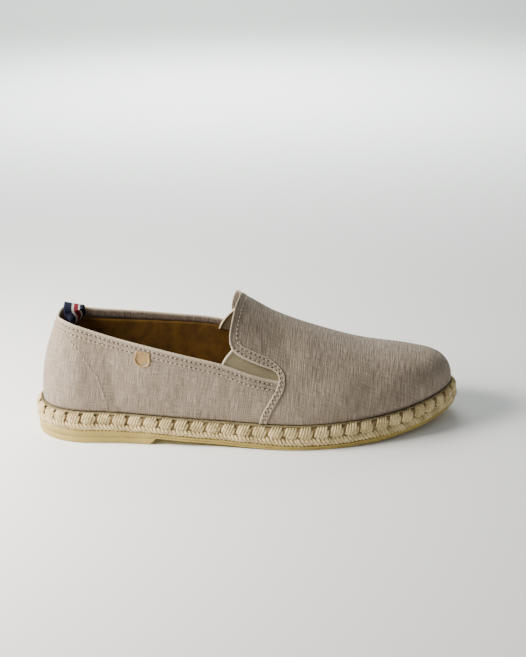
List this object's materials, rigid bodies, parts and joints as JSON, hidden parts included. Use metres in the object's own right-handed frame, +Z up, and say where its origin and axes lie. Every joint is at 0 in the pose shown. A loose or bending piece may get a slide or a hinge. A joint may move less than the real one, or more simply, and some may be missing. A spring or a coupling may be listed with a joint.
{
  "type": "espadrille shoe",
  "caption": "Slip-on linen espadrille with elastic gores, a braided jute edge, a crepe rubber sole with a low heel, a heel pull loop and a small side tab.",
  "frame": {"origin": "on the floor, at the middle of the shoe's length and width", "axes": "+X from heel to toe, +Y to the inner side of the foot, +Z up"},
  "size_m": [0.29, 0.1069, 0.092],
  "materials": {
    "linen_canvas": "slubby plain weave, matt",
    "crepe_rubber": "smooth, slightly translucent, satin",
    "jute_rope": "braided yarn, matt",
    "suede_lining": "napped, matt",
    "elastic_web": "ribbed elastic, matt",
    "grosgrain_ribbon": "ribbed, slight sheen",
    "pale_leather": "smooth, satin"
  },
  "bodies": {
    "root": {"outsole": "crepe_rubber", "jute_midsole": "jute_rope", "jute_braid": "jute_rope", "rand": "jute_rope", "insole": "suede_lining", "upper": "linen_canvas", "gore_lateral": "elastic_web", "gore_medial": "elastic_web", "pull_loop": "grosgrain_ribbon", "side_tab": "pale_leather"}
  },
  "joints": []
}
